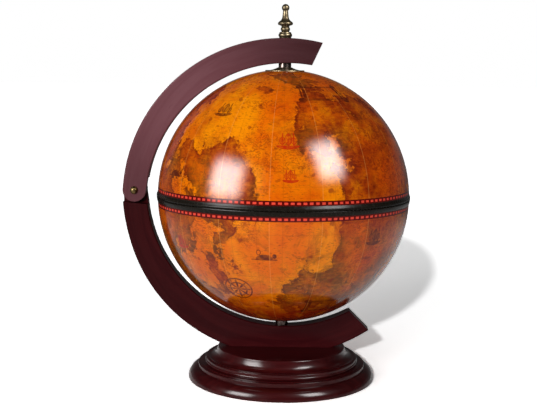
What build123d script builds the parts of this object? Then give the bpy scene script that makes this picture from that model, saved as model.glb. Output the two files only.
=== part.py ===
"""Tabletop globe bar: a hinged globe on a turned base that opens at its equator.

Two wooden arms in one upright plane carry the globe from its poles.  The lower arm is screwed
to a turned base.  The upper arm is joined to it by a halving pivot at the left, so that the
upper half of the globe lifts up and over.  The lower half holds a rack for a bottle and glasses.

Frame: millimetres, +Z up, +X to the open side of the arms, front faces -Y,
origin at the centre of the felt face that rests on the table.
"""
import os
from math import asin, cos, pi, sin, sqrt, tan

from build123d import *

# ---------------------------------------------------------------- globe
GLOBE_RADIUS = 165.0            # outside of the printed shells
SHELL_THICKNESS = 4.0
GLOBE_CENTRE_Z = 243.5          # height of the shells' common centre
PARTING_GAP = 0.6               # air between the closed rims, which meet at the equator

UPPER_RIM_EDGE = ((165.6, 0.0), (166.4, 0.8), (166.4, 2.6), (165.9, 3.1))    # radius and rise of
LOWER_RIM_EDGE = ((165.6, 0.0), (166.4, 0.8))                 # the outer edge from the joint face
RIM_LAP = 0.2                   # the rim's thin edge covers the cut edge of the paper
RIM_HEIGHT = 6.5
RIM_SPIGOT_R = 159.2            # fits inside the shell's edge
UPPER_SPIGOT_DEPTH = 8.0
LOWER_SPIGOT_DEPTH = 12.0
RIM_BORE_R = 152.0

# ---------------------------------------------------------------- rack in the lower half
TRAY_LEDGE_R = 155.8
TRAY_FIT = 0.3                  # radial gap round the tray and round the shelf
TRAY_THICKNESS = 6.0
TRAY_DEPTH = 6.0                # from the parting line down to the tray's top
BOTTLE_HOLE_R = 47.0
GLASS_HOLE_R = 37.0
GLASS_CIRCLE_R = 97.0
GLASS_COUNT = 4
HOLE_EDGE_R = 1.5
SHELF_DEPTH = 84.0              # from the globe's centre down to the shelf's top
SHELF_THICKNESS = 6.0
POST_R = 5.0
POST_CIRCLE_R = 112.0
POST_TURN = 45.0                # the posts stand between the glass holes, degrees

# ---------------------------------------------------------------- arms
ARM_THICKNESS = 24.0            # front to back
UPPER_ARM_OUTER = (210.9, -0.4, -5.2)     # radius of the arc, and its centre from the globe's
UPPER_ARM_INNER = (186.2, 5.1, -12.6)
UPPER_ARM_END = (41.8, 185.4, 25.0)       # X and Z of the end cut from the globe's centre, lean
LOWER_ARM_OUTER = (207.8, -0.9, -5.5)
LOWER_ARM_INNER = (182.4, 3.1, 8.9)
LOWER_ARM_END = (102.5, -164.4, -45.0)
KNUCKLE_R = 260.0               # flatter outer edge of the lower arm beside the joint
KNUCKLE_TURN = 20.0             # the knuckle starts this far below level, degrees
ARM_EDGE_R = 1.5                # softened edges of both arms

# ---------------------------------------------------------------- pivot
PIVOT_X = -195.8
PIVOT_RISE = 6.1                # the pivot is this far above the globe's centre
JOINT_LEAN = 5.0                # the joint leans towards the globe, degrees
TONGUE_R = 15.2                 # rounded end of each tongue
SHOULDER_DIST = 17.0            # from the pivot to each shoulder
UPPER_TONGUE_HALVES = (14.8, 16.4)    # outer and inner half widths at the shoulders
LOWER_TONGUE_HALVES = (13.4, 19.4)
TONGUE_GAP = 0.8                # filled by the friction washer

PIVOT_BOLT_R = 3.0
PIVOT_HEAD_R = 5.2
PIVOT_HEAD_RISE = 4.0
PIVOT_HEAD_COLLAR = 1.0
PIVOT_TAIL = 8.0                # thread past the back face of the arms
PIVOT_WASHER_R = 9.0
PIVOT_WASHER_T = 1.2
FRICTION_WASHER_R = 11.0
CAP_NUT_ACROSS = 10.0
CAP_NUT_HEX = 5.0
CAP_NUT_DOME_R = 4.6
CAP_NUT_DOME_RISE = 4.4

# ---------------------------------------------------------------- turned base
BASE_HEIGHT = 42.0
OVOLO_R = 14.1                  # quarter-round of the foot
OVOLO_CENTRE = (110.1, 1.2)      # radius and height
FOOT_R = 123.4
STEP_R = 111.1                  # two steps between the quarter-round and the cap
STEP_Z = 20.2
NECK_R = 106.5
BASE_CAP_Z = 21.3                # the cap sits on the plinth here
FELT_R = 106.0
FELT_T = 2.0
FELT_RECESS_R = 107.0
REED_FOOT = (100.9, 21.5)        # radius and height of the points of the cap's edge
REED_SWELL = (101.9, 23.3)
REED_TOP = (100.9, 25.0)
FILLET_TOP = (100.9, 27.6)
QUIRK = (97.4, 28.2)
COVE_FOOT = (97.4, 29.1)
COVE_HOLLOW = (89.9, 30.5)
DISC_FOOT = (86.6, 34.4)
DISC_SHOULDER = (84.8, 40.2)
DISC_EDGE = (84.3, 41.4)
DISC_TOP_R = 83.0

SCREW_X = 40.0
SCREW_SHANK_R = 2.5
SCREW_HEAD_R = 5.0
SCREW_HEAD_H = 3.0
SCREW_HEAD_Z = 13.0             # the heads sit in counterbores from below
SCREW_TIP_Z = 57.0
SCREW_POINT = 5.0
COUNTERBORE_R = 7.0

# ---------------------------------------------------------------- poles
RUNNING_CLEARANCE = 0.05        # radial, between a turning part and its bolt
POLE_BOLT_R = 4.0
SPACER_R = 8.25
SPACER_SHELL_GAP = 0.4          # air between the lower bush and the turning shell
FLANGE_R = 25.6
FLANGE_HUB_R = 9.0
FLANGE_EDGE_W = 1.6
FLANGE_EDGE_H = 1.4
FLANGE_DISH = (16.5, 2.1)       # radius, and height over the flange's foot
FLANGE_RISE = 168.0             # top of the flange over the globe's centre
UPPER_SPACER_RISE = 174.5
FINIAL_SEAT_R = 9.0
FINIAL_SEAT_RISE = 205.0
FINIAL_SOCKET = 8.0             # thread inside the finial
CROWN_BLOCK_R = 34.0
CROWN_BLOCK_RISE = 150.0
CROWN_NUT_RISE = 156.0
POLE_BLOCK_R = 58.0
POLE_BLOCK_DROP = 140.0
POLE_NUT_DROP = 152.0
LOWER_SPACER_DROP = 174.5
POLE_HEAD_R = 7.0
POLE_HEAD_H = 5.5
POLE_HEAD_RISE = 9.0            # top of the lower bolt's head over the base
POLE_HEAD_POCKET_R = 8.5
NUT_ACROSS = 13.0
NUT_HEIGHT = 6.5
NUT_TAIL = 1.5                  # thread past the nut
NUT_POCKET_R = 12.5
WASHER_R = 10.0
WASHER_T = 1.5

# finial, as (radius, height over its seat)
FINIAL_FOOT = (7.6, 7.9, 2.2)           # radius at the seat, radius and height of the first edge
FINIAL_RING = (8.9, 4.4, 7.9, 6.6)      # swell and its upper edge
FINIAL_STEP = (7.6, 8.0, 4.6, 9.2)
FINIAL_BEAD = (6.1, 12.0, 4.9, 14.8)
FINIAL_DISC = (5.6, 16.4, 9.0, 17.6)
FINIAL_DISC_EDGE = (9.8, 19.6, 8.6, 21.4)
FINIAL_VASE = (5.3, 24.4, 4.0, 28.6)
FINIAL_NECK_R = 3.3
FINIAL_BALL = (4.9, 39.4)

# ---------------------------------------------------------------- derived dimensions
SHELL_INNER_R = GLOBE_RADIUS - SHELL_THICKNESS
PARTING_Z = GLOBE_CENTRE_Z
TRAY_TOP = PARTING_Z - TRAY_DEPTH
SHELF_TOP = GLOBE_CENTRE_Z - SHELF_DEPTH
PIVOT_Z = GLOBE_CENTRE_Z + PIVOT_RISE
ARM_FACE = ARM_THICKNESS / 2
FLANGE_TOP = GLOBE_CENTRE_Z + FLANGE_RISE
UPPER_SPACER_TOP = GLOBE_CENTRE_Z + UPPER_SPACER_RISE
FINIAL_SEAT_Z = GLOBE_CENTRE_Z + FINIAL_SEAT_RISE
CROWN_BLOCK_FACE = GLOBE_CENTRE_Z + CROWN_BLOCK_RISE
CROWN_NUT_SEAT = GLOBE_CENTRE_Z + CROWN_NUT_RISE
POLE_BLOCK_FACE = GLOBE_CENTRE_Z - POLE_BLOCK_DROP
POLE_NUT_SEAT = GLOBE_CENTRE_Z - POLE_NUT_DROP
LOWER_SPACER_BOTTOM = GLOBE_CENTRE_Z - LOWER_SPACER_DROP
POLE_HEAD_TOP = BASE_HEIGHT + POLE_HEAD_RISE
BIG = 400.0                     # larger than the whole object, for cutting blocks
OVER = 1.0                      # a cutting tool runs this far past a face

parts = {}


# ---------------------------------------------------------------- shared helpers
def turned(*outline):
    """Revolve a closed outline, drawn as (radius, 0, height) points, about Z."""
    return revolve(make_face(outline), axis=Axis.Z)


def polygon(*points):
    """Closed straight-sided outline from (radius, height) points, in the XZ plane."""
    return Polyline(*[(r, 0, z) for r, z in points], close=True)


def upright(radius, z_low, z_high):
    """Solid cylinder on the Z axis from z_low to z_high."""
    return Pos(0, 0, (z_low + z_high) / 2) * Cylinder(radius, z_high - z_low)


def pole_bore(radius):
    """Endless cutting cylinder on the globe's axis."""
    return upright(radius, 0, 2 * BIG)


def along_pivot(radius, y_low, y_high):
    """Solid cylinder on the pivot's axis from y_low to y_high."""
    return Pos(PIVOT_X, (y_low + y_high) / 2, PIVOT_Z) * Rot(90, 0, 0) * Cylinder(radius, y_high - y_low)


def hexagon_nut(across_flats, height, z_low, hole_r):
    """Hexagon nut on Z, with both faces chamfered, standing on z_low."""
    nut = extrude(RegularPolygon(across_flats / 2, 6, major_radius=False), height)
    corner_r = across_flats / 2 / cos(pi / 6)
    chamfer_h = (corner_r - across_flats / 2) * tan(pi / 6)
    turned_blank = turned(polygon(
        (0, 0), (across_flats / 2, 0), (corner_r, chamfer_h),
        (corner_r, height - chamfer_h), (across_flats / 2, height), (0, height)))
    nut = nut & turned_blank
    if hole_r:
        nut -= upright(hole_r, -OVER, height + OVER)
    return Pos(0, 0, z_low) * nut


def domed(radius, rise):
    """Dome on the XY plane: a slice of a ball with this base radius and rise."""
    ball_r = (radius ** 2 + rise ** 2) / (2 * rise)
    half_way = asin(radius / ball_r) / 2
    top, shoulder = (0, 0, rise), (radius, 0, 0)
    middle = (ball_r * sin(half_way), 0, rise - ball_r + ball_r * cos(half_way))
    return turned(ThreePointArc(top, middle, shoulder), Polyline(shoulder, (0, 0, 0), top))


def sphere_at_centre(radius):
    """Ball about the globe's centre."""
    return Pos(0, 0, GLOBE_CENTRE_Z) * Sphere(radius)


def radius_on_sphere(radius, from_centre):
    """Radius of the level circle that a sphere has this far above or below its centre."""
    return sqrt(radius ** 2 - from_centre ** 2)


# ---------------------------------------------------------------- base
def base_plinth():
    """Lower turned disc: a quarter-round foot, then two small steps up to the cap."""
    middle_r, middle_z = OVOLO_CENTRE
    ovolo_z = middle_z + radius_on_sphere(OVOLO_R, STEP_R - middle_r)
    ovolo_top, ovolo_side = (STEP_R, 0, ovolo_z), (middle_r + OVOLO_R, 0, middle_z)
    half = OVOLO_R * cos(pi / 4)
    plinth = turned(
        Polyline((0, 0, BASE_CAP_Z), (NECK_R, 0, BASE_CAP_Z), (NECK_R, 0, STEP_Z), (STEP_R, 0, STEP_Z),
                 ovolo_top),
        ThreePointArc(ovolo_top, (middle_r + half, 0, middle_z + half), ovolo_side),
        Polyline(ovolo_side, (FOOT_R, 0, 0), (FELT_RECESS_R, 0, 0), (FELT_RECESS_R, 0, FELT_T),
                 (0, 0, FELT_T), (0, 0, BASE_CAP_Z)))
    return bored_for_screws(plinth)


def base_cap():
    """Upper turned disc: a reed and a fillet, a cove, and a flat disc with a softened edge."""
    reed, swell, reed_top, fillet_top, quirk, cove, hollow, foot, shoulder, edge = [
        (r, 0, z) for r, z in (REED_FOOT, REED_SWELL, REED_TOP, FILLET_TOP, QUIRK, COVE_FOOT,
                               COVE_HOLLOW, DISC_FOOT, DISC_SHOULDER, DISC_EDGE)]
    rim = (DISC_TOP_R, 0, BASE_HEIGHT)
    cap = turned(
        Polyline((0, 0, BASE_CAP_Z), (REED_FOOT[0], 0, BASE_CAP_Z), reed),
        ThreePointArc(reed, swell, reed_top),
        Polyline(reed_top, fillet_top, quirk, cove),
        ThreePointArc(cove, hollow, foot),
        Line(foot, shoulder),
        ThreePointArc(shoulder, edge, rim),
        Polyline(rim, (0, 0, BASE_HEIGHT), (0, 0, BASE_CAP_Z)))
    return bored_for_screws(cap)


def arm_screws():
    """Two countersunk wood screws that hold the lower arm to the base from below."""
    screw = turned(polygon(
        (0, SCREW_HEAD_Z), (SCREW_HEAD_R, SCREW_HEAD_Z), (SCREW_SHANK_R, SCREW_HEAD_Z + SCREW_HEAD_H),
        (SCREW_SHANK_R, SCREW_TIP_Z - SCREW_POINT), (0, SCREW_TIP_Z)))
    return Compound([Pos(x, 0, 0) * screw for x in (-SCREW_X, SCREW_X)])


def bored_for_screws(disc):
    """Take the countersunk holes and counterbores of the arm screws out of a disc of the base."""
    hole = turned(polygon(
        (0, -OVER), (COUNTERBORE_R, -OVER), (COUNTERBORE_R, SCREW_HEAD_Z), (SCREW_HEAD_R, SCREW_HEAD_Z),
        (SCREW_SHANK_R, SCREW_HEAD_Z + SCREW_HEAD_H), (SCREW_SHANK_R, BASE_HEIGHT + OVER),
        (0, BASE_HEIGHT + OVER)))
    for x in (-SCREW_X, SCREW_X):
        disc -= Pos(x, 0, 0) * hole
    return disc


# ---------------------------------------------------------------- arms
def drum(radius, x, rise):
    """Disc as thick as an arm, its centre given from the globe's centre."""
    return Pos(x, 0, GLOBE_CENTRE_Z + rise) * Rot(90, 0, 0) * Cylinder(radius, ARM_THICKNESS)


def knuckle():
    """Straighter outer edge of the lower arm from the joint down to where its arc takes over."""
    radius, x, rise = LOWER_ARM_OUTER
    turn = pi * KNUCKLE_TURN / 180
    growth = KNUCKLE_R - radius
    flat = drum(KNUCKLE_R, x + growth * cos(turn), rise + growth * sin(turn))
    foot = GLOBE_CENTRE_Z + rise - radius * sin(turn)
    window = Pos(PIVOT_X - TONGUE_R, 0, (foot + PIVOT_Z) / 2) * Box(2 * TONGUE_R, BIG, PIVOT_Z - foot)
    return flat & window


def beyond_end(x, rise, lean):
    """Block past an arm's end cut, which leans this far from upright."""
    block = Pos(BIG / 2, 0, 0) * Box(BIG, BIG, 2 * BIG)
    return Pos(x, 0, GLOBE_CENTRE_Z + rise) * Rot(0, lean, 0) * block


def joint_frame(shape):
    """Carry a shape drawn about the pivot, with the arm running up Z, to its place."""
    return Pos(PIVOT_X, 0, PIVOT_Z) * Rot(0, JOINT_LEAN, 0) * shape


def past_shoulder(direction):
    """Everything above (+1) the upper arm's shoulder or below (-1) the lower arm's one."""
    return joint_frame(Pos(0, 0, direction * (SHOULDER_DIST + BIG / 2)) * Box(2 * BIG, BIG, BIG))


def tongue(y_low, y_high, halves, direction):
    """Rounded tongue about the pivot that widens to the arm's width at its shoulder.

    direction is +1 where the tongue's arm lies above the pivot and -1 where it lies below.
    """
    root = direction * (SHOULDER_DIST + OVER)
    sides = make_face(Polyline(
        (-TONGUE_R, 0, 0), (-halves[0], 0, root), (halves[1], 0, root), (TONGUE_R, 0, 0), close=True))
    end = Plane.XZ * Circle(TONGUE_R)
    solid = extrude(sides, ARM_THICKNESS, both=True) + extrude(end, ARM_THICKNESS, both=True)
    return joint_frame(solid & (Pos(0, (y_low + y_high) / 2, 0) * Box(BIG, y_high - y_low, BIG)))


def soften(arm):
    """Round the long curved edges on the front and back faces of an arm."""
    rim = [e for e in arm.edges().filter_by(GeomType.CIRCLE)
           if abs(abs(e.center().Y) - ARM_FACE) < 0.01 and e.radius > GLOBE_RADIUS]
    return fillet(rim, ARM_EDGE_R)


def upper_arm():
    """Arm over the north pole, with its tongue at the front of the halving joint."""
    band = drum(*UPPER_ARM_OUTER) - drum(*UPPER_ARM_INNER)
    band = (band & past_shoulder(1)) - beyond_end(*UPPER_ARM_END)
    arm = soften(band) + tongue(-ARM_FACE, -TONGUE_GAP / 2, UPPER_TONGUE_HALVES, 1)
    arm -= upright(FINIAL_SEAT_R, FINIAL_SEAT_Z, FINIAL_SEAT_Z + BIG)
    arm -= upright(SPACER_R, FLANGE_TOP, UPPER_SPACER_TOP)
    arm -= upright(POLE_BOLT_R, FLANGE_TOP, FINIAL_SEAT_Z + BIG)
    return arm - along_pivot(PIVOT_BOLT_R + RUNNING_CLEARANCE, -BIG, BIG)


def lower_arm():
    """Arm under the south pole, flat where it stands on the base, tongue at the back."""
    band = drum(*LOWER_ARM_OUTER) + knuckle() - drum(*LOWER_ARM_INNER)
    band = (band & past_shoulder(-1)) - beyond_end(*LOWER_ARM_END)
    arm = soften(band) + tongue(TONGUE_GAP / 2, ARM_FACE, LOWER_TONGUE_HALVES, -1)
    arm -= Pos(0, 0, BASE_HEIGHT - BIG / 2) * Box(BIG, BIG, BIG)
    arm -= upright(SPACER_R, LOWER_SPACER_BOTTOM, GLOBE_CENTRE_Z)
    arm -= upright(POLE_BOLT_R, BASE_HEIGHT - OVER, GLOBE_CENTRE_Z)
    arm -= upright(POLE_HEAD_POCKET_R, BASE_HEIGHT - OVER, POLE_HEAD_TOP)
    pilot = turned(polygon(
        (0, BASE_HEIGHT - OVER), (SCREW_SHANK_R, BASE_HEIGHT - OVER),
        (SCREW_SHANK_R, SCREW_TIP_Z - SCREW_POINT), (0, SCREW_TIP_Z)))
    for x in (-SCREW_X, SCREW_X):
        arm -= Pos(x, 0, 0) * pilot
    return arm - along_pivot(PIVOT_BOLT_R, -BIG, BIG)


# ---------------------------------------------------------------- pivot hardware
def pivot_bolt():
    """Domed bolt from front to back through both tongues."""
    head = domed(PIVOT_HEAD_R, PIVOT_HEAD_RISE) + upright(PIVOT_HEAD_R, -PIVOT_HEAD_COLLAR, 0)
    head = Pos(PIVOT_X, -ARM_FACE - PIVOT_HEAD_COLLAR, PIVOT_Z) * Rot(90, 0, 0) * head
    return head + along_pivot(PIVOT_BOLT_R, -ARM_FACE - PIVOT_HEAD_COLLAR, ARM_FACE + PIVOT_TAIL)


def ring_on_pivot(radius, y_low, y_high):
    """Flat ring on the pivot bolt."""
    return along_pivot(radius, y_low, y_high) - along_pivot(PIVOT_BOLT_R, y_low - OVER, y_high + OVER)


def pivot_cap_nut():
    """Domed hexagon nut on the back end of the pivot bolt."""
    nut = hexagon_nut(CAP_NUT_ACROSS, CAP_NUT_HEX, 0, 0)
    nut += Pos(0, 0, CAP_NUT_HEX) * domed(CAP_NUT_DOME_R, CAP_NUT_DOME_RISE)
    nut -= upright(PIVOT_BOLT_R, -OVER, PIVOT_TAIL - PIVOT_WASHER_T)
    return Pos(PIVOT_X, ARM_FACE + PIVOT_WASHER_T, PIVOT_Z) * Rot(-90, 0, 0) * nut


# ---------------------------------------------------------------- pole hardware
def finial():
    """Turned brass finial: a ball over a necked vase, a disc and a stepped foot."""
    ball_r, ball_rise = FINIAL_BALL
    neck_rise = ball_rise - radius_on_sphere(ball_r, FINIAL_NECK_R)

    def at(radius, rise):
        """Point of the outline at this radius, this far over the seat."""
        return (radius, 0, FINIAL_SEAT_Z + rise)

    foot = at(*FINIAL_FOOT[1:])
    ring_top = at(*FINIAL_RING[2:])
    step = at(*FINIAL_STEP[2:])
    bead_top = at(*FINIAL_BEAD[2:])
    disc = at(*FINIAL_DISC[2:])
    disc_top = at(*FINIAL_DISC_EDGE[2:])
    neck = at(FINIAL_NECK_R, neck_rise)
    top = at(0, ball_rise + ball_r)
    solid = turned(
        Polyline(at(0, 0), at(FINIAL_FOOT[0], 0), foot),
        ThreePointArc(foot, at(*FINIAL_RING[:2]), ring_top),
        Polyline(ring_top, at(*FINIAL_STEP[:2]), step),
        ThreePointArc(step, at(*FINIAL_BEAD[:2]), bead_top),
        Polyline(bead_top, at(*FINIAL_DISC[:2]), disc),
        ThreePointArc(disc, at(*FINIAL_DISC_EDGE[:2]), disc_top),
        Spline(disc_top, at(*FINIAL_VASE[:2]), at(*FINIAL_VASE[2:]), neck),
        ThreePointArc(neck, at(ball_r, ball_rise), top),
        Line(top, at(0, 0)))
    return solid - upright(POLE_BOLT_R, FINIAL_SEAT_Z - OVER, FINIAL_SEAT_Z + FINIAL_SOCKET)


def upper_pole_rod():
    """Threaded rod from the finial down through the arm to the nut inside the globe."""
    low = CROWN_NUT_SEAT - WASHER_T - NUT_HEIGHT - NUT_TAIL
    return upright(POLE_BOLT_R, low, FINIAL_SEAT_Z + FINIAL_SOCKET)


def upper_spacer():
    """Bush between the arm and the flange on the north pole."""
    return upright(SPACER_R, FLANGE_TOP, UPPER_SPACER_TOP) - pole_bore(POLE_BOLT_R)


def upper_flange():
    """Dished brass flange that bears on the upper shell round its pole."""
    foot_z = GLOBE_CENTRE_Z + radius_on_sphere(GLOBE_RADIUS, FLANGE_R)
    edge_z = foot_z + FLANGE_EDGE_H
    hidden_z = foot_z - FLANGE_HUB_R
    inner_edge = (FLANGE_R - FLANGE_EDGE_W, 0, edge_z)
    hub = (FLANGE_HUB_R, 0, FLANGE_TOP)
    dish = turned(
        Polyline((0, 0, hidden_z), (FLANGE_R, 0, hidden_z), (FLANGE_R, 0, edge_z), inner_edge),
        ThreePointArc(inner_edge, (FLANGE_DISH[0], 0, foot_z + FLANGE_DISH[1]), hub),
        Polyline(hub, (0, 0, FLANGE_TOP), (0, 0, hidden_z)))
    return dish - sphere_at_centre(GLOBE_RADIUS) - pole_bore(POLE_BOLT_R + RUNNING_CLEARANCE)


def crown_block():
    """Wooden block glued inside the north pole, pocketed for the washer and nut."""
    block = upright(CROWN_BLOCK_R, CROWN_BLOCK_FACE, GLOBE_CENTRE_Z + GLOBE_RADIUS)
    block = block & sphere_at_centre(SHELL_INNER_R)
    block -= upright(NUT_POCKET_R, CROWN_BLOCK_FACE - OVER, CROWN_NUT_SEAT)
    return block - pole_bore(POLE_BOLT_R + RUNNING_CLEARANCE)


def pole_block():
    """Wooden block glued inside the south pole, which the bottle stands on."""
    block = upright(POLE_BLOCK_R, GLOBE_CENTRE_Z - GLOBE_RADIUS, POLE_BLOCK_FACE)
    block = block & sphere_at_centre(SHELL_INNER_R)
    block -= upright(NUT_POCKET_R, POLE_NUT_SEAT, POLE_BLOCK_FACE + OVER)
    return block - pole_bore(POLE_BOLT_R + RUNNING_CLEARANCE)


def washer(z_low):
    """Plain washer on the pole bolt."""
    return upright(WASHER_R, z_low, z_low + WASHER_T) - pole_bore(POLE_BOLT_R)


def lower_pole_bolt():
    """Bolt from under the lower arm up through the south pole, its head let into the arm."""
    tip = POLE_NUT_SEAT + WASHER_T + NUT_HEIGHT + NUT_TAIL
    head = upright(POLE_HEAD_R, POLE_HEAD_TOP - POLE_HEAD_H, POLE_HEAD_TOP)
    return head + upright(POLE_BOLT_R, POLE_HEAD_TOP, tip)


def lower_spacer():
    """Bush between the lower arm and the south pole, hollowed to clear the shell."""
    bush = upright(SPACER_R, LOWER_SPACER_BOTTOM, GLOBE_CENTRE_Z - SHELL_INNER_R)
    return bush - sphere_at_centre(GLOBE_RADIUS + SPACER_SHELL_GAP) - pole_bore(POLE_BOLT_R)


# ---------------------------------------------------------------- globe halves
def shell(z_cut, direction):
    """Half of the hollow globe above (+1) or below (-1) a level cut, drilled at its pole."""
    ball = sphere_at_centre(GLOBE_RADIUS) - sphere_at_centre(SHELL_INNER_R)
    half = ball & (Pos(0, 0, z_cut + direction * BIG / 2) * Box(BIG, BIG, BIG))
    return half - pole_bore(POLE_BOLT_R + RUNNING_CLEARANCE)


def rim(direction, edge, spigot_depth):
    """Ring in a shell's mouth; direction is +1 for the upper rim and -1 for the lower one.

    edge lists the (radius, rise) points of its outer side, from the joint face.
    """
    face_z = PARTING_Z + direction * PARTING_GAP / 2
    shoulder_z = PARTING_Z + direction * RIM_HEIGHT
    spigot_z = shoulder_z + direction * spigot_depth
    lap_r = radius_on_sphere(GLOBE_RADIUS, shoulder_z - GLOBE_CENTRE_Z) + RIM_LAP
    side = [(r, face_z + direction * rise) for r, rise in edge]
    return turned(polygon(
        (RIM_BORE_R, face_z), *side, (lap_r, shoulder_z), (RIM_SPIGOT_R, shoulder_z),
        (RIM_SPIGOT_R, spigot_z), (RIM_BORE_R, spigot_z)))


def lower_rim():
    """Black ring round the lower half, rebated to take the tray."""
    ring = rim(-1, LOWER_RIM_EDGE, LOWER_SPIGOT_DEPTH)
    return ring - upright(TRAY_LEDGE_R, TRAY_TOP - TRAY_THICKNESS, GLOBE_CENTRE_Z)


def glass_tray():
    """Round tray with a bottle hole and a ring of glass holes, dropped into the lower rim."""
    disc = upright(TRAY_LEDGE_R - TRAY_FIT, TRAY_TOP - TRAY_THICKNESS, TRAY_TOP)
    disc -= upright(BOTTLE_HOLE_R, 0, BIG)
    for place in PolarLocations(GLASS_CIRCLE_R, GLASS_COUNT):
        disc -= place * upright(GLASS_HOLE_R, 0, BIG)
    holes = [e for e in disc.edges().filter_by(GeomType.CIRCLE)
             if abs(e.center().Z - TRAY_TOP) < 0.01 and e.radius < TRAY_LEDGE_R - OVER]
    return fillet(holes, HOLE_EDGE_R)


def glass_shelf():
    """Shelf that the glasses stand on, with the bottle hole carried through."""
    shelf_r = radius_on_sphere(SHELL_INNER_R, SHELF_DEPTH + SHELF_THICKNESS) - TRAY_FIT
    return upright(shelf_r, SHELF_TOP - SHELF_THICKNESS, SHELF_TOP) - upright(BOTTLE_HOLE_R, 0, BIG)


def rack_posts():
    """Four dowels that hold the tray and the shelf apart."""
    post = upright(POST_R, SHELF_TOP, TRAY_TOP - TRAY_THICKNESS)
    return Compound([place * post for place in PolarLocations(POST_CIRCLE_R, GLASS_COUNT, POST_TURN)])


# ---------------------------------------------------------------- assembly
def build():
    """Make every piece of the globe bar under the name of its node."""
    parts["base_plinth"] = base_plinth()
    parts["base_cap"] = base_cap()
    parts["base_felt"] = upright(FELT_R, 0, FELT_T)
    parts["arm_screws"] = arm_screws()
    parts["lower_arm"] = lower_arm()
    parts["pivot_bolt"] = pivot_bolt()
    parts["pivot_washer"] = ring_on_pivot(PIVOT_WASHER_R, ARM_FACE, ARM_FACE + PIVOT_WASHER_T)
    parts["friction_washer"] = ring_on_pivot(FRICTION_WASHER_R, -TONGUE_GAP / 2, TONGUE_GAP / 2)
    parts["pivot_cap_nut"] = pivot_cap_nut()
    parts["lower_pole_bolt"] = lower_pole_bolt()
    parts["lower_spacer"] = lower_spacer()
    parts["lower_washer"] = washer(POLE_NUT_SEAT)
    parts["lower_lock_nut"] = hexagon_nut(NUT_ACROSS, NUT_HEIGHT, POLE_NUT_SEAT + WASHER_T, POLE_BOLT_R)

    parts["lower_hemisphere"] = shell(PARTING_Z - RIM_HEIGHT, -1)
    parts["lower_rim"] = lower_rim()
    parts["glass_tray"] = glass_tray()
    parts["glass_shelf"] = glass_shelf()
    parts["rack_posts"] = rack_posts()
    parts["pole_block"] = pole_block()

    parts["upper_arm"] = upper_arm()
    parts["finial"] = finial()
    parts["upper_pole_rod"] = upper_pole_rod()
    parts["upper_spacer"] = upper_spacer()
    parts["upper_washer"] = washer(CROWN_NUT_SEAT - WASHER_T)
    parts["upper_lock_nut"] = hexagon_nut(
        NUT_ACROSS, NUT_HEIGHT, CROWN_NUT_SEAT - WASHER_T - NUT_HEIGHT, POLE_BOLT_R)

    parts["upper_hemisphere"] = shell(PARTING_Z + RIM_HEIGHT, 1)
    parts["upper_rim"] = rim(1, UPPER_RIM_EDGE, UPPER_SPIGOT_DEPTH)
    parts["upper_flange"] = upper_flange()
    parts["crown_block"] = crown_block()


build()
os.makedirs("parts", exist_ok=True)
for node, shape in parts.items():
    export_step(shape, f"parts/{node}.step")
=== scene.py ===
"""Tabletop globe bar: a printed globe between two mahogany half arms on a turned base.

Each turned piece is parented to an empty named for its CAD body; on the real bar the upper arm
lifts with the upper half of the globe and both halves turn on their poles.  The frame is the
part's own: +Z up, the front faces -Y and the origin lies under the middle of the base.  Profiles
and sizes of the pieces are in millimetres, and the lathe turns them into metres; the studio and
the bumps are in metres.
"""
from __future__ import annotations

import logging
import math
from dataclasses import dataclass, field
from enum import Enum, IntEnum
from typing import Any, Iterable, Sequence

import bmesh
import bpy
from mathutils import Matrix, Vector

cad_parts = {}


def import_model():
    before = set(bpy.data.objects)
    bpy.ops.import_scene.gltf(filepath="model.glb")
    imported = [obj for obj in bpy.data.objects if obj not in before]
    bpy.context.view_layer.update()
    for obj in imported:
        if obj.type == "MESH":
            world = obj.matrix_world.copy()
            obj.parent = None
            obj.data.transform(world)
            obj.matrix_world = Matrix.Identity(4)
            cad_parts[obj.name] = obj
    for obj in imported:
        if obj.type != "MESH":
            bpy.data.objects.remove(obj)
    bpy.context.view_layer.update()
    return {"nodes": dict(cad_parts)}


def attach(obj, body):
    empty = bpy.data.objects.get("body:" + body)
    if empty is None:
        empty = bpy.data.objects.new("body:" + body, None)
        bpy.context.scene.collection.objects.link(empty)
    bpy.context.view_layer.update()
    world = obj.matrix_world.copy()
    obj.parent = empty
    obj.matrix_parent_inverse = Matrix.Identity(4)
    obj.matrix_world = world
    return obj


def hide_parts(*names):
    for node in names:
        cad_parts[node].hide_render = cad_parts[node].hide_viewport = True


LOG = logging.getLogger("globe_bar")

Point = tuple[float, float]
Triple = tuple[float, float, float]
Curve = tuple[Point, Point, Point]
Nodes = dict[str, bpy.types.Object]

MM = 0.001                                  # metres in a millimetre
GLOBE_CENTRE = 243.5                        # height of the globe's centre
GLOBE_RADIUS = 165.0                        # outside of the printed shells
CENTRE: Triple = (0.0, 0.0, GLOBE_CENTRE * MM)
ORIGIN: Triple = (0.0, 0.0, 0.0)
EVEN: Triple = (1.0, 1.0, 1.0)
MIX_INPUTS = (0, 6, 7)                      # a mix node's share and its two colours
MIX_OUTPUT = 2                              # its mixed colour


def paint(red: int, green: int, blue: int) -> Triple:
    """Turn an 8-bit screen colour into the linear colour that shaders take."""
    def linear(level: int) -> float:
        """One channel from its screen level to its linear value."""
        share = level / 255.0
        return share / 12.92 if share <= 0.04045 else ((share + 0.055) / 1.055) ** 2.4

    return linear(red), linear(green), linear(blue)


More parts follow.
